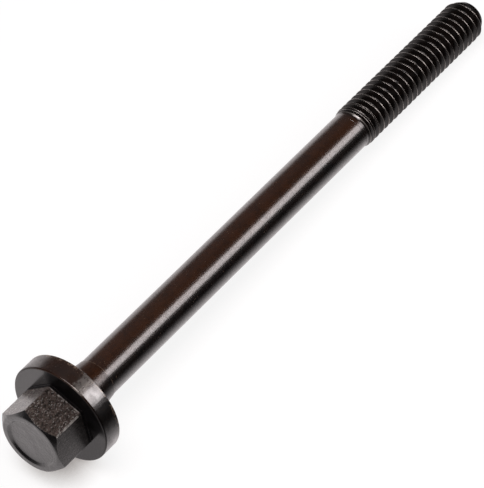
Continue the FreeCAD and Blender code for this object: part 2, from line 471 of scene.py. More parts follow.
@dataclass
class HexagonHead:
    """The hexagon with rounded corners, a base fillet, a top chamfer and a shallow dish."""

    across_flats: float = 16.0
    corner_degrees: float = 16.1
    corner_round: float = 0.35
    corner_steps: int = 4
    height: float = 15.2
    foot: float = 4.9
    foot_fillet: float = 0.15
    foot_steps: int = 5
    top_radius: float = 7.7
    chamfer_degrees: float = 40.0
    dish_radius: float = 6.5
    dish_floor_radius: float = 5.8
    dish_centre: float = 0.8
    dish_depth: float = 0.6
    rim_round: float = 0.7
    dish_round: float = 0.5
    rim_steps: int = 3
    edge_round: float = 0.09
    edge_steps: int = 2
    edge_degrees: float = 28.0
    spare_height: float = 1.0
    envelope_segments: int = 144

    def build(self) -> bpy.types.Object:
        """Model the head and trim it to its turned envelope.

        Returns:
            The head, open where it stands on the flange.
        """
        piece = self._prism()
        envelope = self._envelope()
        Bench.apply(piece, "BOOLEAN", operation="INTERSECT", object=envelope, solver="EXACT")
        bpy.data.objects.remove(envelope)
        Bench.apply(piece, "BEVEL", width=self.edge_round, segments=self.edge_steps,
                    limit_method="ANGLE", angle_limit=math.radians(self.edge_degrees),
                    use_clamp_overlap=True)
        with Bench.editing(piece, "FACE"):
            Bench.select(piece, "faces", lambda face: all(
                corner.co.x > -self.foot - TOUCH for corner in face.verts))
            bpy.ops.mesh.delete(type="FACE")
        return piece

    def _prism(self) -> bpy.types.Object:
        """Model the full-height hexagon with rounded corners and the fillet at its foot."""
        half_side, flat = math.radians(30), self.across_flats / 2
        wall = -self.foot - self.foot_fillet
        length = self.height + wall + self.spare_height
        piece = Bench.new(
            "hexagon", bpy.ops.mesh.primitive_cylinder_add, vertices=6,
            radius=flat / math.cos(half_side), depth=length,
            rotation=(0, math.radians(90), 0), location=(wall - length / 2, 0, 0))
        first = max(piece.data.vertices, key=lambda vertex: vertex.co.y).co
        piece.rotation_euler.x = math.radians(self.corner_degrees) - math.atan2(first.z, first.y)
        Bench.settle()
        with Bench.editing(piece, "EDGE"):
            Bench.select(piece, "edges", lambda edge: abs(
                edge.verts[0].co.x - edge.verts[1].co.x) > length / 2)
            bpy.ops.mesh.bevel(offset=self.corner_round * math.tan(half_side),
                               segments=self.corner_steps, affect="EDGES")
        with Bench.editing(piece, "FACE"):
            Bench.select(piece, "faces", lambda face: stands_at(face, wall))
            arc = quarter_round((wall, flat + self.foot_fillet), self.foot_fillet,
                                -90, 0, self.foot_steps)
            Bench.turn(wall, flat, arc[1:])
        return piece

    def _soft_rims(self) -> list[Station]:
        """Give the outline over the top's rounded rim, down the dish's wall and into its floor."""
        top = -self.height
        wall = math.degrees(math.atan2(self.dish_depth, self.dish_radius - self.dish_floor_radius))
        rim_reach = self.rim_round * math.tan(math.radians(self.chamfer_degrees / 2))
        dish_reach = self.dish_round * math.tan(math.radians(wall / 2))
        return [
            *quarter_round((top + self.rim_round, self.top_radius - rim_reach), self.rim_round,
                           180 - self.chamfer_degrees, 180, self.rim_steps),
            *quarter_round((top + self.dish_round, self.dish_radius + dish_reach), self.dish_round,
                           180, 180 + wall, self.rim_steps),
            *quarter_round((top + self.dish_depth - self.dish_round,
                            self.dish_floor_radius - dish_reach), self.dish_round,
                           wall, 0, self.rim_steps),
        ]

    def _envelope(self) -> bpy.types.Object:
        """Turn the body that trims the hexagon: chamfer, top ring and dish."""
        top, outer = -self.height, self.across_flats
        chamfer_end = top + (outer - self.top_radius) * math.tan(math.radians(self.chamfer_degrees))
        piece = Bench.new(
            "head_envelope", bpy.ops.mesh.primitive_circle_add, vertices=self.envelope_segments,
            radius=outer, rotation=(0, math.radians(90), 0))
        with Bench.editing(piece, "EDGE"):
            bpy.ops.mesh.select_all(action="SELECT")
            bpy.ops.mesh.edge_face_add()
            bpy.ops.mesh.select_all(action="DESELECT")
            Bench.select(piece, "faces", lambda face: True)
            Bench.turn(0.0, outer, [
                (chamfer_end, outer), *self._soft_rims(),
                (top + self.dish_depth, self.dish_floor_radius * self.dish_centre)])
        Bench.close_up(piece)
        return piece


def node_operator(operation: str, swapped: bool = False) -> Callable[["Signal", Number], "Signal"]:
    """Make an operator of Signal out of a math node's operation, with its values swapped or not."""
    def work_out(signal: "Signal", other: Number) -> "Signal":
        """Add the math node."""
        return signal.board.math(operation, *((other, signal) if swapped else (signal, other)))
    return work_out


@dataclass(frozen=True)
class Change:
    """A change from one level to another, eased over a reach of some value."""

    reach: Span
    levels: Span


@dataclass(frozen=True)
class Grain:
    """A noise over a surface: its scale, its depth in millimetres if it is raised, and its kind."""

    scale: float
    depth: float = 0.0
    detail: float = 3.0
    rough: float = 0.6


@dataclass(frozen=True)
class ToolLines:
    """Fine lines left by a tool or a scratch: their spacing and depth in millimetres."""

    spacing: float
    depth: float


@dataclass(frozen=True)
class Patches:
    """Specks or worn patches: their size in millimetres, how many there are and how they show."""

    size: float
    amount: Number
    share: float = 1.0


@dataclass(frozen=True)
class Signal:
    """A value, vector or colour in a node tree, with which sums are written like with numbers."""

    board: "NodeBoard"
    socket: bpy.types.NodeSocket

    __add__ = node_operator("ADD")
    __sub__ = node_operator("SUBTRACT")
    __rsub__ = node_operator("SUBTRACT", swapped=True)
    __mul__ = node_operator("MULTIPLY")
    __truediv__ = node_operator("DIVIDE")
    __rtruediv__ = node_operator("DIVIDE", swapped=True)

    def spread(self, start: float, end: float) -> "Signal":
        """Turn 0 into start and 1 into end, with the values between in line."""
        return self.board.math("MULTIPLY_ADD", self, end - start, start)

    def ease(self, low: Number, high: Number) -> "Signal":
        """Ease from 0 where this value is low to 1 where it is high."""
        return self.board.out("ShaderNodeMapRange", {"Value": self, "From Min": low, "From Max": high},
                              interpolation_type="SMOOTHSTEP")

    def change(self, change: Change) -> "Signal":
        """Give the level of a change where this value stands."""
        return self.ease(*change.reach).spread(*change.levels)


@dataclass
class NodeBoard:
    """A node tree with short calls for the nodes that the finishes use."""

    tree: bpy.types.NodeTree

    def feed(self, socket: bpy.types.NodeSocket, value: object) -> None:
        """Link a signal to an input, or set the input's own value."""
        if isinstance(value, Signal):
            self.tree.links.new(value.socket, socket)
        else:
            socket.default_value = value

    def add(self, kind: str, inputs: Optional[dict] = None, **settings: object) -> bpy.types.Node:
        """Add a node.

        Args:
            kind: The node's type.
            inputs: What feeds its inputs, by their names or numbers.
            settings: Its properties, which are set first.

        Returns:
            The node.
        """
        node = self.tree.nodes.new(kind)
        for name, value in settings.items():
            setattr(node, name, value)
        for key, value in (inputs or {}).items():
            self.feed(node.inputs[key], value)
        return node

    def out(self, kind: str, inputs: Optional[dict] = None, output: Union[int, str] = 0,
            **settings: object) -> Signal:
        """Add a node and return one of its outputs, by its name or number."""
        return Signal(self, self.add(kind, inputs, **settings).outputs[output])

    def math(self, operation: str, *values: Number) -> Signal:
        """Work out a value from one, two or three values."""
        return self.out("ShaderNodeMath", dict(enumerate(values)), operation=operation)

    def vector(self, operation: str, *vectors: object, output: str = "Vector") -> Signal:
        """Work out a vector, or the output Value, from one or two vectors."""
        return self.out("ShaderNodeVectorMath", dict(enumerate(vectors)), output, operation=operation)

    def split(self, vector: Signal) -> list[Signal]:
        """Take a vector apart into its three values."""
        return [Signal(self, part) for part in self.add("ShaderNodeSeparateXYZ", {0: vector}).outputs]

    def noise(self, place: Signal, grain: Grain, size: Optional[Signal] = None) -> Signal:
        """Give a grain's noise from 0 to 1 at a place, made broader by a size."""
        return self.out("ShaderNodeTexNoise", {
            "Vector": place, "Scale": grain.scale / size if size else grain.scale,
            "Detail": grain.detail, "Roughness": grain.rough}, "Fac")

    def blend(self, share: Number, first: object, second: object) -> Signal:
        """Mix two colours by a share."""
        node = self.add("ShaderNodeMix", {"Factor": share}, data_type="RGBA")
        for name, value in (("A", first), ("B", second)):
            self.feed(next(s for s in node.inputs if s.name == name and s.type == "RGBA"), value)
        return Signal(self, next(s for s in node.outputs if s.type == "RGBA"))


@dataclass
class SharedEffects:
    """The node groups that several finishes use, each made once."""

    lie: Lie
    groups: dict[str, bpy.types.NodeTree] = field(default_factory=dict)
    mottle_broad: Grain = Grain(1.0)
    mottle_fine: Grain = Grain(4.3, detail=2.0, rough=0.5)
    mottle_shares: Span = (0.65, 0.35)
    mottle_level: Span = (0.34, 0.66)
    speck_grain: Grain = Grain(1.0, detail=1.0, rough=0.5)
    speck_areas: Grain = Grain(0.12, detail=1.0, rough=0.5)
    speck_level: Span = (0.86, 0.70)
    speck_edge: float = 0.07
    line_grain: Grain = Grain(1.0, detail=2.0)
    line_drift: Place = (0.03, 0.12, 0.12)
    edge_grain: Grain = Grain(1.0, rough=0.65)
    edge_level: Span = (0.8, 0.2)
    wear_edge: float = 0.18

    def build(self) -> None:
        """Make all shared groups."""
        self._make("bolt_space", self._bolt_space, Object=None)
        self._make("mottle", self._mottle, Place=None, Size=1.0)
        self._make("specks", self._specks, Place=None, Size=0.5, Amount=0.1)
        self._make("tool_lines", self._tool_lines, Place=None, Across=0.0, Spacing=0.1)
        self._make("worn_edge", self._worn_edge, Place=None, Nearness=0.0, Size=1.0, Amount=0.5)

    def _make(self, name: str, effect: Callable[..., dict[str, Signal]],
              **defaults: Optional[float]) -> None:
        """Make one node group.

        Args:
            name: The group's name.
            effect: Works out the group's named outputs from its board and its inputs.
            defaults: Each input's own value, or None for a vector.
        """
        tree = bpy.data.node_groups.new(name, "ShaderNodeTree")
        board = NodeBoard(tree)
        for label, default in defaults.items():
            kind = SOCKET_KINDS["VALUE" if default is not None else "VECTOR"]
            socket = tree.interface.new_socket(label, in_out="INPUT", socket_type=kind)
            if default is not None:
                socket.default_value = default
        source = board.add("NodeGroupInput")
        results = effect(board, *(Signal(board, source.outputs[label]) for label in defaults))
        for label, signal in results.items():
            kind = SOCKET_KINDS[signal.socket.type]
            tree.interface.new_socket(label, in_out="OUTPUT", socket_type=kind)
        board.add("NodeGroupOutput", results)
        self.groups[name] = tree

    def _bolt_space(self, board: NodeBoard, seen: Signal) -> dict[str, Signal]:
        """Turn object coordinates into millimetres along and around the bolt."""
        place = board.out("ShaderNodeMapping", {
            "Vector": seen, "Location": self.lie.seat, "Rotation": (0, self.lie.dip, 0),
            "Scale": (MILLIMETRE,) * 3}, vector_type="TEXTURE")
        along, side, up = board.split(place)
        return {"Place": place, "Along": along, "Radius": board.math("SQRT", side * side + up * up),
                "Angle": board.math("ARCTAN2", up, side)}

    def _mottle(self, board: NodeBoard, place: Signal, size: Signal) -> dict[str, Signal]:
        """Give uneven patches from two sizes of noise."""
        broad, fine = (board.noise(place, grain, size) * share for grain, share in zip(
            (self.mottle_broad, self.mottle_fine), self.mottle_shares))
        return {"Mask": (broad + fine).ease(*self.mottle_level)}

    def _specks(self, board: NodeBoard, place: Signal, size: Signal,
                amount: Signal) -> dict[str, Signal]:
        """Give small scattered specks, more of them in some areas."""
        level = board.noise(place, self.speck_areas, size).spread(*self.speck_level) - amount
        grain = board.noise(place, self.speck_grain, size)
        return {"Mask": grain.ease(level, level + self.speck_edge)}

    def _tool_lines(self, board: NodeBoard, place: Signal, across: Signal,
                    spacing: Signal) -> dict[str, Signal]:
        """Give fine lines at a spacing along a measured value, a little broken up."""
        line = board.out("ShaderNodeCombineXYZ", {"X": across / spacing})
        drift = board.vector("MULTIPLY", place, self.line_drift)
        return {"Height": board.noise(board.vector("ADD", line, drift), self.line_grain)}

    def _worn_edge(self, board: NodeBoard, place: Signal, near: Signal, size: Signal,
                   amount: Signal) -> dict[str, Signal]:
        """Break up a mark along an edge: wear on some edges, a painted highlight on others."""
        level = amount.spread(*self.edge_level)
        patches = board.noise(place, self.edge_grain, size)
        return {"Mask": patches.ease(level, level + self.wear_edge) * near}


FINE_SPECKS = Patches(0.35, 0.06, 0.6)

BLACK_OXIDE = (0.003, 0.0023, 0.0021, 1.0)
BROWN_OXIDE = (0.010, 0.0058, 0.0043, 1.0)
# Brown oxide laid on the side that faces up: painted top light.
BROWN_PAINTED_TOPLIGHT = (0.046, 0.0155, 0.005, 1.0)
GREY_OXIDE = (0.009, 0.0083, 0.009, 1.0)
WORN_STEEL = (0.42, 0.39, 0.36, 1.0)
# Bare steel: light flecks in the scale, wear on one corner, and the painted highlight along one flat's
# foot.
BARE_STEEL_AND_GLINT = (0.55, 0.52, 0.49, 1.0)
# The colour of the painted highlight on the flange rim.
RIM_PAINTED_HIGHLIGHT = (0.28, 0.253, 0.23, 1.0)
SCALE_DARK = (0.009, 0.0068, 0.0058, 1.0)
SCALE_PALE = (0.165, 0.128, 0.11, 1.0)
PALE_SPECK = (0.19, 0.13, 0.085, 1.0)
# Light flecks of bare steel at the rim's rear edge, and the painted highlight along the neck's step.
EDGE_FLECK_AND_GLINT = (0.45, 0.33, 0.24, 1.0)
WHITE = (1.0, 1.0, 1.0, 1.0)
BLACK = (0.0, 0.0, 0.0, 1.0)

# The white of the lamps, the far wall and the floor, as it is mirrored in the steel.
MIRRORED_WHITE = (1.0, 0.935, 0.94, 1.0)


@dataclass
class FinishBoard(NodeBoard):
    """The node tree of one finish, with its shader and the bolt's own coordinates."""

    effects: SharedEffects
    oxide_mottle_size: float = 3.5
    top_light_side: Span = (0.6, 0.95)
    top_light_share: Span = (0.6, 1.1)

    def __post_init__(self) -> None:
        """Place the shader, its output and the bolt's own coordinates in millimetres."""
        self.tree.nodes.clear()
        self.shader = self.add("ShaderNodeBsdfPrincipled")
        self.add("ShaderNodeOutputMaterial", {"Surface": Signal(self, self.shader.outputs[0])})
        space = self.add("ShaderNodeGroup", {"Object": self.out("ShaderNodeTexCoord", output="Object")},
                         node_tree=self.effects.groups["bolt_space"])
        self.place, self.along, self.radius, self.angle = (Signal(self, s) for s in space.outputs)

    def shade(self, inputs: dict[str, object]) -> None:
        """Feed inputs of the shader by their names."""
        for name, value in inputs.items():
            self.feed(self.shader.inputs[name], value)

    def effect(self, name: str, **values: object) -> Signal:
        """Place a shared effect, at the bolt's own place if no other is given."""
        return self.out("ShaderNodeGroup", {"Place": self.place, **values},
                        node_tree=self.effects.groups[name])

    def height(self, degrees: float) -> Signal:
        """Measure the height above the bolt's axis in a direction about it."""
        turn = math.radians(degrees)
        return self.vector("DOT_PRODUCT", self.place, (0, math.cos(turn), math.sin(turn)),
                           output="Value")

    def facing(self, degrees: float) -> Signal:
        """Give the cosine between a direction about the axis and where the surface stands."""
        return self.height(degrees) / self.radius

    def patched(self, effect: str, patches: Patches, **inputs: Signal) -> Signal:
        """Say where specks or worn patches lie and how strongly they show."""
        return self.effect(effect, Size=patches.size, Amount=patches.amount, **inputs) * patches.share

    def mottled(self, size: float, first: Colour, second: Colour) -> Signal:
        """Mix two colours in uneven patches."""
        return self.blend(self.effect("mottle", Size=size), first, second)

    def browned_and_top_lit(self, specks: Patches) -> Signal:
        """Give black and brown oxide in patches, more brown on the side that lies upwards as painted top
        light, and pale specks.
        """
        mottle = self.effect("mottle", Size=self.oxide_mottle_size)
        # Painted top light: the brown is laid on the side that faces up, where the light falls.
        top_light = self.math("SINE", self.angle).ease(*self.top_light_side) * mottle.spread(*self.top_light_share)
        colour = self.blend(top_light, self.blend(mottle, BLACK_OXIDE, BROWN_OXIDE), BROWN_PAINTED_TOPLIGHT)
        return self.blend(self.patched("specks", specks), colour, PALE_SPECK)

    def bump(self, height: Signal, depth: float) -> None:
        """Raise the surface by a height pattern from 0 to 1, to a depth in millimetres."""
        inputs = {"Strength": 1.0, "Distance": depth * MILLIMETRE, "Height": height}
        normal = self.shader.inputs["Normal"]
        if normal.is_linked:
            inputs["Normal"] = Signal(self, normal.links[0].from_socket)
        self.feed(normal, self.out("ShaderNodeBump", inputs))


@dataclass(frozen=True)
class Surface:
    """What every finish has: the steel's shader constants, its tool lines and its grains.

    The coat stands for the oil film on the oxide. Sizes are in millimetres.
    """

    finish: Finish
    roughness: float = 0.38
    metallic: float = 0.3
    specular: float = 0.2
    coat: float = 1.0
    coat_roughness: float = 0.22
    coat_ior: float = 1.9
    lines: Optional[ToolLines] = None
    grains: tuple[Grain, ...] = ()

    def paint(self, board: FinishBoard) -> None:
        """Feed the shader's colour, and what else varies over the surface."""
        raise NotImplementedError

    def across(self, board: FinishBoard) -> Signal:
        """Give the value along which the tool lines are spaced."""
        return board.radius

    def build(self, effects: SharedEffects) -> bpy.types.Material:
        """Build the material and return it."""
        material = bpy.data.materials.new(self.finish.value)
        material.use_nodes = True
        board = FinishBoard(material.node_tree, effects)
        board.shade({
            "Roughness": self.roughness, "Metallic": self.metallic,
            "Specular IOR Level": self.specular, "Coat Weight": self.coat,
            "Coat Roughness": self.coat_roughness, "Coat IOR": self.coat_ior})
        self.paint(board)
        if self.lines:
            board.bump(board.effect("tool_lines", Across=self.across(board),
                                    Spacing=self.lines.spacing), self.lines.depth)
        for grain in self.grains:
            board.bump(board.noise(board.place, grain), grain.depth)
        return material


@dataclass(frozen=True)
class ShankSurface(Surface):
    """Turned and ground shank: satin black with fine turning lines; the brown on its upper side is
    painted top light.
    """

    finish: Finish = Finish.SHANK
    metallic: float = 0.2
    coat_ior: float = 2.0
    lines: ToolLines = ToolLines(0.16, 0.004)
    grains: tuple[Grain, ...] = (Grain(2.6, 0.022), Grain(5.0, 0.022, 2.0))
    specks: Patches = FINE_SPECKS
    step: float = 8.0
    step_reach: Span = (0.06, 0.16)
    step_glint: Patches = Patches(1.2, 0.7, 0.35)
    satin_size: float = 0.4
    satin: Span = (0.24, 0.40)
    film: Change = Change((7.7, 8.0), (0.55, 1.0))
    pores: Grain = Grain(3.2, detail=2.0, rough=0.7)
    pore_film: Change = Change((0.42, 0.6), (1.0, 0.66))

    def paint(self, board: FinishBoard) -> None:
        """Brown the steel with painted top light, paint a light line along the neck's step as its
        highlight, and thin the oil in pores and on the neck.
        """
        # Painted highlight: a light broken line along the edge of the neck's step.
        near = 1.0 - board.math("ABSOLUTE", board.along - self.step).ease(*self.step_reach)
        edge_mark = board.patched("worn_edge", self.step_glint, Nearness=near)
        pores = board.noise(board.place, self.pores).change(self.pore_film)
        board.shade({
            "Base Color": board.blend(edge_mark, board.browned_and_top_lit(self.specks), EDGE_FLECK_AND_GLINT),
            "Roughness": board.effect("mottle", Size=self.satin_size).spread(*self.satin),
            "Coat Weight": board.along.change(self.film) * pores})

    def across(self, board: FinishBoard) -> Signal:
        """Space the turning lines along the bolt."""
        return board.along


@dataclass(frozen=True)
class ThreadSurface(Surface):
    """Rolled thread: dull black flanks and roots, with crests rubbed thin and grey in places."""

    finish: Finish = Finish.THREAD
    thread: RolledThread = field(default_factory=RolledThread)
    grains: tuple[Grain, ...] = (Grain(3.0, 0.008),)
    specks: Patches = FINE_SPECKS
    mottle_size: float = 1.4
    top_lit_end: Span = (104.4, 106.2)
    gloss: Change = Change((103.8, 108.4), (1.0, 0.25))
    wear_size: float = 2.6
    wear_amount: Change = Change((107.0, 118.0), (1.1, 0.75))
    wear_share: float = 0.62
    worn_metallic: Span = (0.3, 0.9)
    crest_depth: Span = (-0.05, -0.015)
    crest_start: Span = (0.6, 1.2)

    def paint(self, board: FinishBoard) -> None:
        """Blacken the thread from its run-out on, where the painted top light ends, and rub its crests.
        """
        wear = Patches(self.wear_size, board.along.change(self.wear_amount))
        edge_mark = board.patched("worn_edge", wear, Nearness=self._on_crest(board))
        colour = board.blend(board.along.ease(*self.top_lit_end), board.browned_and_top_lit(self.specks),
                             board.mottled(self.mottle_size, BLACK_OXIDE, BROWN_OXIDE))
        board.shade({
            "Base Color": board.blend(edge_mark * self.wear_share, colour, WORN_STEEL),
            "Metallic": edge_mark.spread(*self.worn_metallic),
            "Coat Weight": board.along.change(self.gloss)})

    def _on_crest(self, board: FinishBoard) -> Signal:
        """Find the crests, also where they rise as two lips out of the shank."""
        thread = self.thread
        lip = board.along.ease(*thread.lip_rise).spread(thread.blank_radius, thread.major_radius)
        started = board.along.ease(*(thread.lip_rise[0] + run for run in self.crest_start))
        return (board.radius - lip).ease(*self.crest_depth) * started


@dataclass(frozen=True)
class FlangeRimSurface(Surface):
    """Turned flange rim and seat: dark brown oxide, browner on its upper side as painted top light, with
    light flecks at the rear edge.

    A painted highlight lies at one place on the rim: pale metallic colour in a band with a ragged edge.
    The sheen is uneven.
    """

    finish: Finish = Finish.FLANGE_RIM
    metallic: float = 0.25
    coat_roughness: float = 0.23
    coat_ior: float = 2.6
    grains: tuple[Grain, ...] = (Grain(2.2, 0.02),)
    specks: Patches = Patches(0.45, 0.1, 0.6)
    darkened: float = 0.4
    outside: Span = (12.6, 13.0)
    rear_edge: Span = (-1.1, -0.2)
    rear_wear: Patches = Patches(0.6, 0.55, 0.7)
    front_film: Change = Change((-4.65, -4.45), (0.2, 1.0))
    satin_size: float = 0.7
    satin: Span = (0.24, 0.42)
    # A painted highlight: the band of the rim at this direction about the axis is made pale and metallic.
    glint_degrees: float = 112.0
    glint_half: Span = (8.5, 2.0)
    glint_share: Span = (0.6, 1.0)
    glint_metallic: Span = (0.25, 0.90)
    ragged_grain: Grain = Grain(1.1)
    ragged: Span = (-0.013, 0.013)
    dull_degrees: float = 45.0
    dull_film: Change = Change((0.5, 0.85), (1.0, 0.5))
    sheen_stretch: Place = (1.6, 1.0, 1.0)
    sheen: Grain = Grain(0.2, detail=2.0)
    sheen_film: Change = Change((0.42, 0.6), (1.0, 0.67))

    def paint(self, board: FinishBoard) -> None:
        """Brown the rim with painted top light, fleck its rear edge, paint a highlight at one place and
        vary the oil film.
        """
        colour = board.blend(self.darkened, board.browned_and_top_lit(self.specks), BLACK_OXIDE)
        rear = board.along.ease(*self.rear_edge) * board.radius.ease(*self.outside)
        edge_mark = board.patched("worn_edge", self.rear_wear, Nearness=rear)
        satin = board.effect("mottle", Size=self.satin_size)
        # Painted highlight: a pale metallic band with a ragged edge.
        reach = [math.cos(math.radians(half)) for half in self.glint_half]
        ragged = board.noise(board.place, self.ragged_grain).spread(*self.ragged)
        glint_place = (board.facing(self.glint_degrees) + ragged).ease(*reach)
        glint_place = glint_place * satin.spread(*self.glint_share)
        sheen = board.noise(board.vector("MULTIPLY", board.place, self.sheen_stretch), self.sheen)
        film = board.facing(self.dull_degrees).change(self.dull_film) * sheen.change(self.sheen_film)
        board.shade({
            "Base Color": board.blend(glint_place, board.blend(edge_mark, colour, EDGE_FLECK_AND_GLINT), RIM_PAINTED_HIGHLIGHT),
            "Metallic": glint_place.spread(*self.glint_metallic),
            "Roughness": satin.spread(*self.satin),
            "Coat Weight": film * board.along.change(self.front_film)})


@dataclass(frozen=True)
class FlangeFaceSurface(Surface):
    """Forged flange face: even satin grey-black; its oil film is taken off on one side and at the
    hexagon's foot, which paints the shade beside the hexagon.
    """

    finish: Finish = Finish.FLANGE_FACE
    roughness: float = 0.36
    specular: float = 0.04
    coat_roughness: float = 0.14
    lines: ToolLines = ToolLines(0.22, 0.003)
    grains: tuple[Grain, ...] = (Grain(1.6, 0.012),)
    mottle_size: float = 2.2
    level: Span = (-4.92, -4.905)
    dull_degrees: float = 121.0
    dull_film: Change = Change((0.56, 0.74), (1.0, 0.06))
    shown_coat: float = 0.68
    shown_metallic: float = 0.3

    def paint(self, board: FinishBoard) -> None:
        """Mottle the face in grey, and oil it where it is level and open; the bare rest is painted shade.
        """
        # Painted shade: the film is taken off beside the hexagon's middle flat and on the foot fillet,
        # where the hexagon shades the face.
        film_cut = board.facing(self.dull_degrees).change(self.dull_film)
        shown = board.along.ease(*self.level) * film_cut
        board.shade({
            "Base Color": board.mottled(self.mottle_size, BLACK_OXIDE, GREY_OXIDE),
            "Coat Weight": shown * self.shown_coat, "Metallic": shown * self.shown_metallic})


@dataclass(frozen=True)
class HexagonSurface(Surface):
    """Forged hexagon flats: rough scale, smoother with arc scratches round one side.

    One long corner is rubbed to bare metal in broken lines. A painted highlight runs in broken lines
    along the foot of the flat beside it, and painted shade blackens the flats just above the flange.
    """

    finish: Finish = Finish.HEXAGON
    roughness: float = 0.5
    coat_roughness: float = 0.25
    lines: ToolLines = ToolLines(0.3, 0.06)
    scratch_centre: Place = (-15.0, -8.0, -6.0)
    scale: Grain = Grain(2.0, 1.3, 3.0, 0.65)
    scale_stretch: Place = (0.6, 1.0, 1.0)
    scale_calmed: Span = (1.0, 0.15)
    mottle_size: float = 0.5
    flecks: Patches = Patches(0.28, 0.19, 0.62)
    on_flat: Span = (7.85, 7.95)
    calm_degrees: float = 166.1
    calm_share: float = 0.85
    glint_degrees: float = 106.1
    glint_foot: Span = (-5.95, -5.81)
    corner_degrees: float = 136.1
    on_corner: Span = (9.07, 9.12)
    wear: Patches = Patches(1.0, 0.68)
    foot_shade: Span = (-5.69, -5.59)
    # Painted shade: the oil film thins towards the flange, so the flats darken as they near it.
    film: Change = Change((-10.65, -5.65), (0.97, 0.55))
    dull_film: Span = (1.0, 0.06)

    def paint(self, board: FinishBoard) -> None:
        """Scale the flats, calm one side, rub a corner, paint a highlight along a foot and paint shade
        above the flange.
        """
        calm, glint_place = (board.height(degrees).ease(*self.on_flat)
                        for degrees in (self.calm_degrees, self.glint_degrees))
        drawn = board.vector("MULTIPLY", board.place, self.scale_stretch)
        mottle = board.effect("mottle", Place=drawn, Size=self.mottle_size)
        scaly = board.blend(board.patched("specks", self.flecks, Place=drawn),
                            board.blend(mottle, SCALE_DARK, SCALE_PALE), BARE_STEEL_AND_GLINT)
        colour = board.blend(calm * self.calm_share, scaly,
                             board.blend(mottle, BLACK_OXIDE, GREY_OXIDE))
        # Painted highlight: a broken light line along the foot of the middle flat.
        foot = glint_place * board.along.ease(*self.glint_foot)
        corner = board.height(self.corner_degrees).ease(*self.on_corner)
        edge_mark = board.patched("worn_edge", self.wear, Nearness=board.math("MAXIMUM", foot, corner))
        # Painted shade: just above the flange the flats turn black and lose their oil film.
        foot_shade = board.along.ease(*self.foot_shade)
        colour = board.blend(foot_shade, board.blend(edge_mark, colour, BARE_STEEL_AND_GLINT), BLACK_OXIDE)
        film_cut = board.math("MAXIMUM", foot_shade, glint_place).spread(*self.dull_film)
        board.shade({"Base Color": colour, "Coat Weight": board.along.change(self.film) * film_cut})
        board.bump(board.noise(drawn, self.scale) * calm.spread(*self.scale_calmed), self.scale.depth)

    def across(self, board: FinishBoard) -> Signal:
        """Space the scratches in arcs about a place beside the hexagon."""
        return board.vector("DISTANCE", board.place, self.scratch_centre, output="Value")


@dataclass(frozen=True)
class HeadTopSurface(Surface):
    """Head top, dish and chamfer: smooth forged grey-black with faint rings."""

    finish: Finish = Finish.HEAD_TOP
    coat: float = 0.82
    coat_roughness: float = 0.2
    lines: ToolLines = ToolLines(0.35, 0.02)
    grains: tuple[Grain, ...] = (Grain(1.3, 0.06), Grain(0.32, 0.5, 2.0, 0.5))
    mottle_size: float = 1.8

    def paint(self, board: FinishBoard) -> None:
        """Mottle the steel in grey."""
        board.shade({"Base Color": board.mottled(self.mottle_size, BLACK_OXIDE, GREY_OXIDE)})


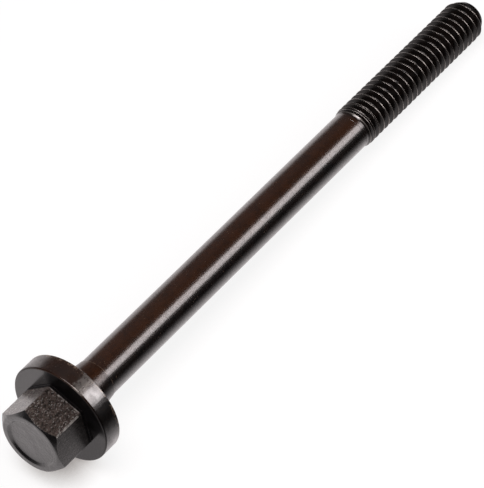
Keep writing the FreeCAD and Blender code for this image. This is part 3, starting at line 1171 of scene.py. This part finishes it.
@dataclass
class BoltForging:
    """The whole bolt as one forging: thread, turned shank and flange, and hexagon head."""

    lie: Lie
    thread: RolledThread = field(default_factory=RolledThread)
    shank: TurnedShank = field(default_factory=TurnedShank)
    head: HexagonHead = field(default_factory=HexagonHead)
    seat_end: float = 0.01
    facing_front: float = -0.98
    facing_top: float = -0.3
    below_chamfer: float = 1.0
    dish_margin: float = 0.1
    smooth_degrees: float = 35.0
    normal_weight: int = 50

    def build(self) -> bpy.types.Object:
        """Model the bolt, lay it down and return it."""
        piece = self.thread.build()
        self.shank.build(piece, self.thread.start)
        LOG.info("thread and turned shank: %d faces", len(piece.data.polygons))
        head = self.head.build()
        LOG.info("hexagon head: %d faces", len(head.data.polygons))
        self._join(piece, head)
        Bench.close_up(piece)
        self._dress(piece)
        piece.matrix_world = self.lie.matrix()
        Bench.pick(piece)
        Bench.settle()
        return piece

    def _join(self, piece: bpy.types.Object, head: bpy.types.Object) -> None:
        """Join the head to the flange and fill the flange's front face round it."""
        Bench.pick(piece)
        head.select_set(True)
        bpy.ops.object.join()
        front = -self.shank.flange_thickness
        with Bench.editing(piece, "EDGE"):
            Bench.select(piece, "edges", lambda edge: edge.is_boundary and stands_at(edge, front))
            bpy.ops.mesh.fill(use_beauty=True)

    def _finish_of(self, face: bmesh.types.BMFace) -> Finish:
        """Say which finish a face has, by its place and the way it faces."""
        centre = face.calc_center_median()
        radius = math.hypot(centre.y, centre.z)
        front = -self.shank.flange_thickness
        wall = front - self.head.foot_fillet
        dish_floor = self.head.dish_depth - self.head.height + self.dish_margin
        if centre.x > self.thread.start:
            return Finish.THREAD
        if centre.x > self.seat_end:
            return Finish.SHANK
        if centre.x > front - TOUCH:
            return Finish.FLANGE_FACE if face.normal.x < self.facing_front else Finish.FLANGE_RIM
        if centre.x > wall:
            return Finish.FLANGE_FACE
        level = face.normal.x < self.facing_top and radius < self.head.across_flats
        if level and centre.x < wall - self.below_chamfer:
            return Finish.HEAD_TOP
        inward = face.normal.y * centre.y + face.normal.z * centre.z < 0
        if inward and centre.x < dish_floor:
            return Finish.HEAD_TOP
        return Finish.HEXAGON

    def _dress(self, piece: bpy.types.Object) -> None:
        """Give each surface its finish and smooth the shading."""
        effects = SharedEffects(self.lie)
        effects.build()
        surfaces = (ShankSurface(), ThreadSurface(thread=self.thread), FlangeRimSurface(),
                    FlangeFaceSurface(), HexagonSurface(), HeadTopSurface())
        piece.data.materials.clear()
        for surface in surfaces:
            piece.data.materials.append(surface.build(effects))
        for index, surface in enumerate(surfaces):
            with Bench.editing(piece, "FACE"):
                found = Bench.select(
                    piece, "faces", lambda face: self._finish_of(face) is surface.finish)
                piece.active_material_index = index
                bpy.ops.object.material_slot_assign()
            LOG.info("%s: %d faces", surface.finish.value, found)
        Bench.pick(piece)
        bpy.ops.object.shade_smooth_by_angle(angle=math.radians(self.smooth_degrees))
        Bench.apply(piece, "WEIGHTED_NORMAL", keep_sharp=True, weight=self.normal_weight)


@dataclass(frozen=True)
class Softbox:
    """A rectangular studio lamp that faces the bolt."""

    name: str
    direction: Place
    distance: float
    size: Span
    radiance: float

    def build(self) -> None:
        """Place the lamp so that its first side runs along the bolt."""
        data = bpy.data.lights.new(self.name, "AREA")
        data.shape = "RECTANGLE"
        data.size, data.size_y = self.size
        data.energy = self.radiance * math.pi * self.size[0] * self.size[1]
        data.color = MIRRORED_WHITE[:3]
        lamp = bpy.data.objects.new(self.name, data)
        bpy.context.scene.collection.objects.link(lamp)
        back = Vector(self.direction).normalized()
        along = (Vector((1, 0, 0)) - back * back.x).normalized()
        turn = Matrix((along, back.cross(along), back)).transposed()
        lamp.matrix_world = Matrix.Translation(back * self.distance) @ turn.to_4x4()


@dataclass
class Studio:
    """The pale floor, the soft lamps, the walls and the camera."""

    focal_length: float = 221.3
    azimuth: float = -53.03
    elevation: float = 50.89
    aim: Place = (-0.003611, 0.003615, 0.0)
    distance: float = 0.70876
    camera_reach: Span = (0.01, 50)
    lamps: tuple[Softbox, ...] = (
        Softbox("key_softbox", (0.57, -0.585, 0.577), 1.2, (0.6, 0.53), 4.4),
        Softbox("top_softbox", (-0.25, 0.0, 0.97), 1.3, (0.6, 0.75), 7.9),
    )
    floor_size: float = 12.0
    floor_roughness: float = 0.9
    floor_colour: Colour = (0.6, 0.6, 0.6, 1.0)
    floor_seen: Colour = (0.20, 0.20, 0.20, 1.0)
    floor_lift: Change = Change((0.2, 0.9), (0.86, 1.0))
    contact_shadow_colour: Colour = (1.0, 0.88, 0.82, 1.0)
    contact_reach: float = 0.010
    contact_end: Span = (-0.082, -0.066)
    contact_power: float = 3.2
    contact_depth: float = 2.9
    contact_samples: int = 16
    head_shade: Place = (-0.079, -0.003, 0.0)
    head_shade_end: Change = Change((0.003, 0.020), (0.6, 1.0))
    axis_height: Span = (0.0096, -0.0398)
    least_height: float = 0.004
    front_line: float = -0.0047
    bright_heights: float = 0.75
    beyond_start: float = 0.05
    beyond_width: float = 0.04
    beyond_reach: Span = (0.7, 1.4)
    wall_low: Span = (-0.05, 0.19)
    wall_behind: Span = (-0.1, 0.6)
    wall_beside: Span = (0.62, 0.85)
    wall_front: Colour = (0.012, 0.012, 0.013, 1.0)
    wall_back: Colour = (0.08, 0.076, 0.08, 1.0)

    def build(self) -> None:
        """Set up the floor, the lamps, the world and the camera."""
        self._floor()
        for lamp in self.lamps:
            lamp.build()
        self._world()
        self._camera()
        bpy.context.scene.view_settings.view_transform = "Standard"

    def _floor(self) -> None:
        """Lay the pale floor, which keeps the bolt's shadow, with a contact shadow painted under the
        head.

        The camera sees it near white. Polished steel sees it white close to the bolt and dark
        further off towards the front, as if a dark card stood there.
        """
        floor = Bench.new("pale_floor", bpy.ops.mesh.primitive_plane_add, size=self.floor_size)
        material = bpy.data.materials.new("pale_floor")
        material.use_nodes = True
        board = NodeBoard(material.node_tree)
        shader = material.node_tree.nodes["Principled BSDF"]
        path = board.add("ShaderNodeLightPath")
        camera, glossy, through = (Signal(board, path.outputs[f"Is {ray} Ray"])
                                   for ray in ("Camera", "Glossy", "Transmission"))
        mirrored = board.math("MAXIMUM", glossy, through)
        colour = board.blend(camera, self.floor_colour, self.floor_seen)
        place = board.out("ShaderNodeNewGeometry", output="Position")
        # Painted shadow: the floor's glow to the camera is cut and tinted warm where the head encloses
        # it.
        contact_shadow = self._painted_contact_shadow(board, place)
        seen = board.blend(contact_shadow, WHITE, self.contact_shadow_colour)
        open_floor = board.vector("LENGTH", place, output="Value").change(self.floor_lift)
        lift = camera * (1.0 - contact_shadow) * open_floor
        for name, value in {
                "Roughness": self.floor_roughness, "Specular IOR Level": 0.0,
                "Base Color": board.blend(mirrored, colour, BLACK),
                "Emission Color": board.blend(mirrored, seen, MIRRORED_WHITE),
                "Emission Strength": lift + mirrored * self._mirrored_floor(board, place)}.items():
            board.feed(shader.inputs[name], value)
        floor.data.materials.append(material)

    def _painted_contact_shadow(self, board: NodeBoard, place: Signal) -> Signal:
        """Paint the contact shadow under the head, by how closely the head encloses the floor there."""
        enclosed = board.out("ShaderNodeAmbientOcclusion", {"Distance": self.contact_reach}, "AO",
                             samples=self.contact_samples)
        closed = board.math("POWER", 1.0 - enclosed, self.contact_power)
        under_head = 1.0 - board.split(place)[0].ease(*self.contact_end)
        return board.math("MINIMUM", closed * self.contact_depth, 1.0) * under_head

    def _mirrored_floor(self, board: NodeBoard, place: Signal) -> Signal:
        """Work out how bright the floor is in reflections, by how far it is to the front.

        The distance is counted in heights of the bolt's axis above the floor, so that the
        brightness falls off alike all along the bolt. Beneath the head it lies in shadow, and it
        ends beyond the bolt's point.
        """
        along, across, _ = board.split(place)
        height = board.math("MAXIMUM", along.spread(*self.axis_height), self.least_height)
        front = self.front_line - across
        steps = front / height - self.bright_heights
        lit = board.math("MINIMUM", 1.0, board.math("EXPONENT", steps * -1.0))
        shade = board.vector("DISTANCE", place, self.head_shade, output="Value").change(
            self.head_shade_end)
        width = board.math("ABSOLUTE", across) + self.beyond_width
        beyond = ((along - self.beyond_start) / width).ease(*self.beyond_reach)
        return lit * shade * (1.0 - beyond)

    def _world(self) -> None:
        """Make the world white to the camera, pale near the horizon and dim above."""
        world = bpy.data.worlds.new("studio")
        world.use_nodes = True
        bpy.context.scene.world = world
        board = NodeBoard(world.node_tree)
        along, across, up = board.split(board.out("ShaderNodeTexCoord", output="Generated"))
        behind = across.ease(*self.wall_behind)
        band = (1.0 - up.ease(*self.wall_low)) * behind * (1.0 - along.ease(*self.wall_beside))
        wall = board.blend(band, board.blend(behind, self.wall_front, self.wall_back), MIRRORED_WHITE)
        camera = board.out("ShaderNodeLightPath", output="Is Camera Ray")
        board.feed(world.node_tree.nodes["Background"].inputs["Color"],
                   board.blend(camera, wall, WHITE))

    def _camera(self) -> None:
        """Place the camera at the viewing angle, level and with no shift."""
        data = bpy.data.cameras.new("camera")
        data.lens = self.focal_length
        data.clip_start, data.clip_end = self.camera_reach
        camera = bpy.data.objects.new("camera", data)
        bpy.context.scene.collection.objects.link(camera)
        turn, rise = math.radians(self.azimuth), math.radians(self.elevation)
        back = Vector((math.sin(turn) * math.cos(rise), -math.cos(turn) * math.cos(rise),
                       math.sin(rise)))
        camera.location = Vector(self.aim) + back * self.distance
        camera.rotation_euler = (-back).to_track_quat("-Z", "Y").to_euler()
        bpy.context.scene.camera = camera


def main() -> None:
    """Build the bolt and its studio, and declare what rides and replaces what."""
    logging.basicConfig(level=logging.INFO, format="%(name)s: %(message)s")
    lie = Lie.from_record(frame["record"], HexagonHead.height)
    Studio().build()
    bolt = BoltForging(lie, RolledThread(end=lie.length)).build()
    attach(bolt, BODY)
    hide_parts(CAD_NODE)
    LOG.info("%s: %d faces in all", bolt.name, len(bolt.data.polygons))


if __name__ == "__main__":
    main()
